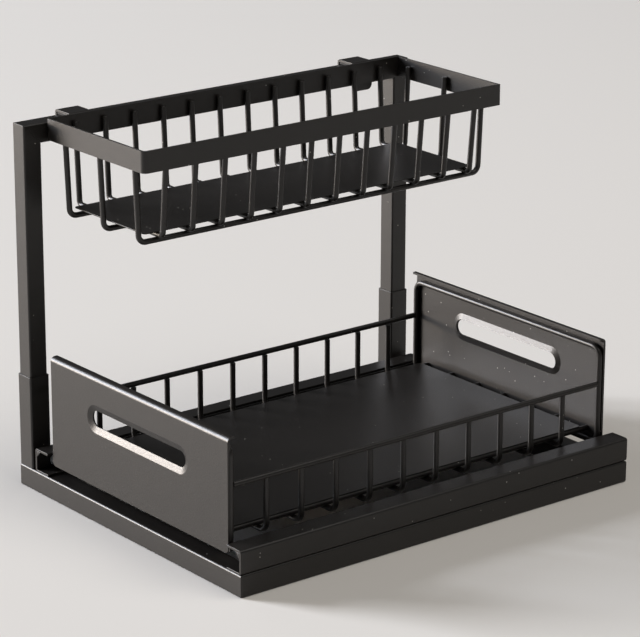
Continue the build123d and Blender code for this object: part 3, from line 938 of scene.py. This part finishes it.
@dataclass(kw_only=True)
class SlideRails(SubAssembly):
    """The two channels on the base, their gussets, stops and end caps. Millimetres."""

    wall: float = 2.2
    lip: float = 1.8
    outer_bend: float = 2.5
    inner_bend: float = 0.8
    gusset_leg: float = 5.5
    gusset: float = 2.0
    travel: float = 300.0
    stop: float = 3.0
    stop_width: float = 6.0
    stop_over_wheel: float = 6.0
    stop_gap: float = 0.3
    cap_corner: float = 0.9
    edge: float = 0.3

    def build(self) -> None:
        """Builds both channels and the caps."""
        self.channel("rail_front", -1)
        self.channel("rail_rear", 1)
        low, high = box("rail_end_caps")
        rail_low, rail_high = box("rail_front")
        width = rail_high.y - rail_low.y - self.wall * MM
        bm = bmesh.new()
        for y in (low.y, high.y - width):
            outline = rectangle(y, y + width, low.z, high.z, self.cap_corner * MM)
            extrude(bm, outline, Axis.X, low.x, high.x)
        caps = self.piece("rail_caps", "rail_end_caps", like=("plug_plastic", Finish.PLUG))
        caps.build(bm, self.edge)

    def channel(self, node: str, side: int) -> None:
        """Builds one channel with its gusset and stops.

        Args:
            node: Its solid.
            side: -1 for the front one, 1 for the rear one.
        """
        low, high = box(node)
        web, mouth = (low.y, high.y) if side < 0 else (high.y, low.y)
        web_in = web - side * self.wall * MM
        lip_top, flange_under = low.z + self.lip * MM, high.z - self.wall * MM
        outer, inner = self.outer_bend * MM, self.inner_bend * MM
        outline = rounded(
            [
                (web, low.z, outer),
                (mouth, low.z, 0.0),
                (mouth, lip_top, 0.0),
                (web_in, lip_top, inner),
                (web_in, flange_under, inner),
                (mouth, flange_under, 0.0),
                (mouth, high.z, 0.0),
                (web, high.z, outer),
            ]
        )
        bm = bmesh.new()
        extrude(bm, outline, Axis.X, low.x, high.x)
        leg = self.gusset_leg * MM
        gusset = [
            (web_in, flange_under),
            (web_in - side * leg, flange_under),
            (web_in, flange_under - leg),
        ]
        extrude(bm, gusset, Axis.X, low.x, low.x + self.gusset * MM)
        wheel_low, wheel_high = box(node.replace("rail", "drawer_roller"))
        wheel = (wheel_low + wheel_high) / 2
        radius, rise = (wheel_high.z - wheel_low.z) / 2, self.stop_over_wheel * MM
        reach = math.sqrt(radius**2 - rise**2) + self.stop_gap * MM
        half, stop = self.stop_width / 2 * MM, self.stop * MM
        for x in (wheel.x - self.travel * MM - reach - stop, wheel.x + reach):
            foot = Vector((x, wheel.y - half, wheel.z + rise))
            block(bm, foot, Vector((x + stop, wheel.y + half, flange_under)))
        self.piece(f"{node}_channel", node).build(bm, self.edge)


# --- Rollers ---


@dataclass
class Rollers:
    """The four nylon rollers, turned with a groove in each face. Millimetres."""

    bore: float = 2.06
    groove_start: float = 0.55
    groove_end: float = 0.8
    groove_depth: float = 0.5
    groove_slope: float = 0.2
    rim: float = 0.7
    rim_bulge: float = 0.3
    edge: float = 0.15

    def build(self) -> None:
        """Builds each roller as a turned piece on its own body."""
        for kind in ("rail_roller", "drawer_roller"):
            for end in ("front", "rear"):
                self.roller(f"{kind}_{end}")

    def roller(self, node: str) -> None:
        """Turns one roller. The groove's two radii are shares of the roller's own.

        Args:
            node: Its solid, which is also its body's name.
        """
        low, high = box(node)
        centre = (low + high) / 2
        radius, width = (high.z - low.z) / 2, high.y - low.y
        hub, web = radius * self.groove_start, radius * self.groove_end
        depth, slope, rim = self.groove_depth * MM, self.groove_slope * MM, self.rim * MM
        face = [
            (self.bore * MM, 0.0),
            (hub, 0.0),
            (hub + slope, depth),
            (web - slope, depth),
            (web, 0.0),
            (radius - rim, 0.0),
            (radius - rim * self.rim_bulge, rim * self.rim_bulge),
            (radius, rim),
        ]
        section = face + [(out, width - along) for out, along in reversed(face)]
        bm = bmesh.new()
        lathe(bm, Vector((centre.x, low.y, centre.z)), Vector((0, 1, 0)), section)
        wheel = Piece(f"{node}_wheel", node, (node,), "roller_plastic", Finish.ROLLER)
        wheel.build(bm, self.edge)


# --- The pull-out drawer ---


@dataclass(kw_only=True)
class PullOutDrawer(WireTray):
    """End panels, hoops, ribs, side and cross wires, and floor. Millimetres."""

    body: Body = Body.DRAWER
    slot: str = "drawer_powder_coat"
    sheet: float = 2.0
    lip_reach: float = 7.0
    lip_bend: float = 4.5
    lip_steps: int = 10
    corner: float = 4.0
    panel_edge: float = 0.35
    slot_length: float = 135.4
    slot_height: float = 14.5
    slot_below_top: float = 38.5
    slot_steps: int = 24
    dish: float = 5.5
    dish_depth: float = 2.1
    dish_bend: float = 1.6
    dish_steps: int = 4
    hoop_bend: float = 9.0
    rib_bend: float = 8.0
    ribs: int = 10
    cross_wires: int = 7

    def slot_outline(self, mid_y: float, mid_z: float, grow: float) -> Outline:
        """The hand slot's outline, grown by a margin.

        Args:
            mid_y: The slot's middle across the panel.
            mid_z: The slot's middle up the panel.
            grow: The margin in millimetres.

        Returns:
            The outline's points as (y, z).
        """
        half = (self.slot_length - self.slot_height) / 2 * MM
        radius = (self.slot_height / 2 + grow) * MM
        out: Outline = []
        for centre, start in ((half, -90), (-half, 90)):
            for k in range(self.slot_steps + 1):
                angle = math.radians(start + 180 * k / self.slot_steps)
                y = mid_y + centre + radius * math.cos(angle)
                out.append((y, mid_z + radius * math.sin(angle)))
        return out

    def panel(self, name: str, node: str, inward: int) -> None:
        """Builds one end panel: a sheet bent inwards along its top, dished round its slot.

        Args:
            name: The piece's name.
            node: Its solid.
            inward: 1 where inwards is +X, -1 where it is -X.
        """
        low, high = box(node)
        outer = low.x if inward > 0 else high.x
        bend, corner = self.lip_bend * MM, self.corner * MM
        bm = bmesh.new()

        def at(depth: float, y: float, z: float) -> bmesh.types.BMVert:
            """A vertex at a depth behind the outer face."""
            return bm.verts.new((outer + inward * depth, y, z))

        flat_top = high.z - bend
        outline = [
            (low.y, low.z, corner),
            (high.y, low.z, corner),
            (high.y, flat_top, 0.0),
            (low.y, flat_top, 0.0),
        ]
        edge = [at(0, y, z) for y, z in rounded(outline)]
        turns = [k / self.lip_steps * math.pi / 2 for k in range(1, self.lip_steps + 1)]
        lip = [(bend * (1 - math.cos(t)), flat_top + bend * math.sin(t)) for t in turns]
        last = [edge[-1], edge[-2]]
        for depth, z in lip + [(self.lip_reach * MM, high.z)]:
            row = [at(depth, y, z) for y in (low.y, high.y)]
            bm.faces.new((last[0], last[1], row[1], row[0]))
            last = row

        slope = math.atan2(self.dish_depth, self.dish)
        mouth = self.dish + self.dish_bend * math.tan(slope / 2)
        mid_y, mid_z = (low.y + high.y) / 2, high.z - self.slot_below_top * MM
        turns = [k / self.dish_steps * slope for k in range(self.dish_steps + 1)]
        dish = [
            (mouth - self.dish_bend * math.sin(t), self.dish_bend * (1 - math.cos(t)))
            for t in turns
        ]
        rings = [
            [at(depth * MM, y, z) for y, z in self.slot_outline(mid_y, mid_z, grow)]
            for grow, depth in dish + [(0.0, self.dish_depth)]
        ]
        for first, second in zip(rings, rings[1:]):
            join_rings(bm, first, second)
        loops = []
        for ring in (edge, rings[0]):
            for i, vert in enumerate(ring):
                other = ring[(i + 1) % len(ring)]
                loops.append(bm.edges.get((vert, other)) or bm.edges.new((vert, other)))
        bmesh.ops.triangle_fill(bm, edges=loops, use_beauty=True)
        bmesh.ops.recalc_face_normals(bm, faces=bm.faces)
        flat = max(bm.faces, key=lambda f: f.calc_area())
        if flat.normal.x * inward > 0:
            bmesh.ops.reverse_faces(bm, faces=bm.faces)
        self.piece(name, node).build(bm, self.panel_edge, sheet=self.sheet)

    def build(self) -> None:
        """Builds the drawer."""
        self.panel("left_panel", "drawer_panel_left", 1)
        self.panel("right_panel", "drawer_panel_right", -1)
        for end in ("left", "right"):
            self.hoop(end)
        for end in ("front", "rear"):
            self.side_wire(end)
        self.rib_row()
        self.floor_sheet("drawer_floor_sheet", "drawer_floor")
        self.cross_wire_row()

    def hoop(self, end: str) -> None:
        """Bends the closed hoop inside one end panel.

        Args:
            end: "left" or "right".
        """
        node = f"drawer_hoop_{end}"
        low, high = box(node)
        x, radius = (low.x + high.x) / 2, (high.x - low.x) / 2
        y0, y1, z0, z1 = low.y + radius, high.y - radius, low.z + radius, high.z - radius
        path = [Vector((x, y, z)) for y, z in ((y0, z0), (y1, z0), (y1, z1), (y0, z1))]
        hoop = self.piece(f"{end}_hoop", node)
        self.bender.bend(hoop, path, radius, self.hoop_bend * MM, closed=True)

    def side_wire(self, end: str) -> None:
        """Lays the straight wire along one side's top.

        Args:
            end: "front" or "rear".
        """
        node = f"drawer_side_wire_{end}"
        low, high = box(node)
        mid = (low + high) / 2
        path = [Vector((x, mid.y, mid.z)) for x in (low.x, high.x)]
        self.bender.bend(self.piece(f"side_wire_{end}", node), path, (high.z - low.z) / 2)

    def rib_row(self) -> None:
        """Bends the U-shaped ribs across the drawer."""
        nodes = [f"drawer_rib_{i + 1:02d}" for i in range(self.ribs)]
        low, high = box(nodes[0])
        radius = (high.x - low.x) / 2
        ends = (low.y + radius, high.y - radius)
        self.u_row("drawer_ribs", nodes, Axis.X, ends, radius, self.rib_bend)

    def cross_wire_row(self) -> None:
        """Lays the straight wires under the floor."""
        low, high = box("drawer_cross_wires")
        radius = (high.z - low.z) / 2
        step = (high.y - low.y - 2 * radius) / (self.cross_wires - 1)
        self.bender.bend(
            self.piece("cross_wires", "drawer_cross_wires"),
            [Vector((x, low.y + radius, (low.z + high.z) / 2)) for x in (low.x, high.x)],
            radius,
            count=self.cross_wires,
            step=Vector((0, step, 0)),
        )


# --- The hanging basket ---


@dataclass(kw_only=True)
class HangingBasket(WireTray):
    """Rim strip, ribs, cradles, floor, hooks and their liners. Millimetres."""

    body: Body = Body.BASKET
    slot: str = "basket_powder_coat"
    wire: float = 5.0
    weld_gap: float = 0.05
    rim_sheet: float = 2.2
    rim_bend: float = 5.0
    rim_corner: float = 1.4
    rim_steps: int = 8
    rim_edge: float = 0.45
    ribs: int = 12
    rib_bend: float = 4.0
    front_taper: float = 6.6
    back_taper: float = 3.9
    cradles: int = 3
    cradle_bend: float = 7.0
    cradle_taper: float = 3.2
    hook_sheet: float = 2.2
    hook_bend: float = 2.5
    hook_corner: float = 5.0
    hook_steps: int = 6
    hook_edge: float = 0.35
    liner_inset: float = 0.4
    liner_edge: float = 0.4

    def build(self) -> None:
        """Builds the basket."""
        self.rim()
        self.wires()
        self.floor_sheet("basket_floor_sheet", "basket_floor")
        for end in ("left", "right"):
            self.hook(end)
        self.liners()

    def rim(self) -> None:
        """Bends the flat strip round the basket's mouth."""
        low, high = box("basket_rim")
        corner = self.rim_corner * MM
        outline = rounded(
            [
                (low.x, low.y, self.rim_bend * MM),
                (high.x, low.y, corner),
                (high.x, high.y, corner),
                (low.x, high.y, corner),
            ],
            self.rim_steps,
        )
        bm = bmesh.new()
        ends = [square_end(Axis.Z, z) for z in (low.z, high.z)]
        join_rings(bm, *(ring_of(bm, outline, Axis.Z, end) for end in ends))
        bmesh.ops.recalc_face_normals(bm, faces=bm.faces)
        bm.faces.ensure_lookup_table()
        away = bm.faces[0].calc_center_median() - (low + high) / 2
        if bm.faces[0].normal.dot(away) < 0:
            bmesh.ops.reverse_faces(bm, faces=bm.faces)
        strip = self.piece("rim_strip", "basket_rim")
        strip.build(bm, self.rim_edge, sheet=self.rim_sheet)

    def wires(self) -> None:
        """Bends the ribs and the long cradles under them, welded inside the rim."""
        low, high = box("basket_rim")
        radius = self.wire / 2 * MM
        inset = (self.rim_sheet + self.weld_gap) * MM + radius
        nodes = [f"basket_rib_{i + 1:02d}" for i in range(self.ribs)]
        ends = (low.y + inset, high.y - inset)
        tapers = (self.front_taper, self.back_taper)
        self.u_row("basket_ribs", nodes, Axis.X, ends, radius, self.rib_bend, tapers)
        nodes = [f"basket_cradle_{i + 1}" for i in range(self.cradles)]
        ends = (low.x + inset, high.x - inset)
        tapers = (self.cradle_taper, self.cradle_taper)
        self.u_row("basket_cradles", nodes, Axis.Y, ends, radius, self.cradle_bend, tapers)

    def hook(self, end: str) -> None:
        """Bends one flat hook over the crossbar.

        Args:
            end: "left" or "right".
        """
        low, high = box(f"hook_{end}")
        bend, corner = self.hook_bend * MM, self.hook_corner * MM
        turns = [k / self.hook_steps * math.pi / 2 for k in range(self.hook_steps + 1)]
        arc = [(bend * (1 - math.cos(t)), bend * (1 - math.sin(t))) for t in turns]
        # Up one leg from its rounded foot: (height, how far the sides draw in).
        leg = [
            (low.z + corner * (1 - math.cos(t)), corner * (1 - math.sin(t))) for t in turns
        ]
        path = [(low.y, z, draw) for z, draw in leg]
        path += [(low.y + rise, high.z - fall, 0.0) for rise, fall in arc]
        path += [(high.y - fall, high.z - rise, 0.0) for rise, fall in arc]
        path += [(high.y, z, draw) for z, draw in reversed(leg)]
        bm = bmesh.new()
        rows = [
            (bm.verts.new((low.x + draw, y, z)), bm.verts.new((high.x - draw, y, z)))
            for y, z, draw in path
        ]
        for first, second in zip(rows, rows[1:]):
            bm.faces.new((first[0], first[1], second[1], second[0]))
        bmesh.ops.recalc_face_normals(bm, faces=bm.faces)
        top = max(bm.faces, key=lambda f: f.calc_center_median().z)
        if top.normal.z < 0:
            bmesh.ops.reverse_faces(bm, faces=bm.faces)
        hook = self.piece(f"{end}_hook", f"hook_{end}")
        hook.build(bm, self.hook_edge, sheet=self.hook_sheet)

    def liners(self) -> None:
        """Builds the soft liners between the hooks and the crossbar."""
        low, high = box("hook_liners")
        inset = self.liner_inset * MM
        bm = bmesh.new()
        for end in ("left", "right"):
            hook_low, hook_high = box(f"hook_{end}")
            foot = Vector((hook_low.x + inset, low.y, low.z))
            block(bm, foot, Vector((hook_high.x - inset, high.y, high.z)))
        liners = self.piece("liners", "hook_liners", like=("liner_rubber", Finish.LINER))
        liners.build(bm, self.liner_edge)


# --- Studio ---


@dataclass(frozen=True)
class SoftBox:
    """A soft area light that faces the object."""

    name: str
    place: tuple[float, float, float]
    size: tuple[float, float]
    power: float
    colour: str = "ffffff"
    target: tuple[float, float, float] = (0.0, 0.0, 0.12)

    def build(self) -> None:
        """Hangs the light."""
        lamp = bpy.data.lights.new(self.name, "AREA")
        lamp.shape = "RECTANGLE"
        lamp.size, lamp.size_y = self.size
        lamp.energy = self.power
        lamp.color = linear(self.colour)[:3]
        made = bpy.data.objects.new(self.name, lamp)
        made.location = self.place
        way = Vector(self.target) - Vector(self.place)
        made.rotation_euler = way.to_track_quat("-Z", "Y").to_euler()
        made.visible_camera = False
        bpy.context.scene.collection.objects.link(made)


@dataclass(frozen=True)
class Studio:
    """A pale floor, soft boxes and a dim even room."""

    floor: str = "e4e1dc"
    room: float = 0.09
    room_colour: str = "f2f4f6"
    reach: float = 14.0

    def build(self) -> None:
        """Builds the floor, the lights and the world."""
        mesh = bpy.data.meshes.new("floor")
        r = self.reach
        corners = [(-r, -r, 0), (r, -r, 0), (r, r, 0), (-r, r, 0)]
        mesh.from_pydata(corners, [], [(0, 1, 2, 3)])
        material, shader = new_material("pale_studio_floor")
        shader.inputs["Base Color"].default_value = linear(self.floor)
        shader.inputs["Roughness"].default_value = 0.9
        shader.inputs["Specular IOR Level"].default_value = 0.1
        mesh.materials.append(material)
        floor = bpy.data.objects.new("floor", mesh)
        bpy.context.scene.collection.objects.link(floor)
        world = bpy.data.worlds.new("room")
        world.use_nodes = True
        tree = world.node_tree
        tree.nodes.clear()
        glow = add_node(
            tree,
            "ShaderNodeBackground",
            values={"Color": linear(self.room_colour), "Strength": self.room},
        )
        add_node(tree, "ShaderNodeOutputWorld", links={"Surface": glow.outputs[0]})
        bpy.context.scene.world = world
        for lamp in (
            SoftBox("window", (-6.9, 9.75, 4.4), (4.0, 5.4), 2350.0, "eff4ff"),
            SoftBox("window_sill", (-8.3, 9.9, 0.95), (6.0, 1.6), 1700.0, "fff0e0"),
            SoftBox("overhead", (1.0, -2.0, 6.0), (5.0, 5.0), 190.0, "fffaf4"),
        ):
            lamp.build()


@dataclass(frozen=True)
class PhotoCamera:
    """The camera of the photograph, solved from the object's corners. Metres."""

    place: tuple[float, float, float] = (-1.5400, -1.9439, 0.9575)
    yaw: float = 0.66860
    pitch: float = 0.31333
    roll: float = 0.00297
    lens: float = 167.13
    sensor: float = 36.0

    def build(self) -> None:
        """Creates the camera and makes it the scene's."""
        forward = Vector(
            (
                math.sin(self.yaw) * math.cos(self.pitch),
                math.cos(self.yaw) * math.cos(self.pitch),
                -math.sin(self.pitch),
            )
        )
        level = Vector((math.cos(self.yaw), -math.sin(self.yaw), 0.0))
        up = level.cross(forward)
        right = level * math.cos(self.roll) + up * math.sin(self.roll)
        above = up * math.cos(self.roll) - level * math.sin(self.roll)
        turn = Matrix((right, above, -forward)).transposed()
        data = bpy.data.cameras.new("photo_camera")
        data.lens = self.lens
        data.sensor_width = self.sensor
        data.clip_start, data.clip_end = 0.05, 50.0
        camera = bpy.data.objects.new("photo_camera", data)
        camera.matrix_world = Matrix.Translation(self.place) @ turn.to_4x4()
        bpy.context.scene.collection.objects.link(camera)
        bpy.context.scene.camera = camera


def dress_plain() -> None:
    """Gives the solids that still show as they are their finishes."""
    plain = {
        "rail_roller_pins": Finish.STEEL,
        "drawer_roller_pins": Finish.STEEL,
        "runner_front": Finish.COAT,
        "runner_rear": Finish.COAT,
    }
    for node, finish in plain.items():
        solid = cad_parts[node]
        solid.data.materials.clear()
        solid.data.materials.append(finish.material())
        soften(solid, SHEET_EDGE)


def main() -> None:
    """Builds the object, its studio and its camera."""
    logging.basicConfig(level=logging.INFO, format="%(name)s: %(message)s")
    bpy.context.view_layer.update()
    PhotoCamera().build()
    Studio().build()
    bender = WireBender()
    BaseFrame().build()
    SlideRails().build()
    Rollers().build()
    PullOutDrawer(bender=bender).build()
    HangingBasket(bender=bender).build()
    dress_plain()
    scene = bpy.context.scene
    scene.view_settings.view_transform = "Standard"


if __name__ == "__main__":
    main()
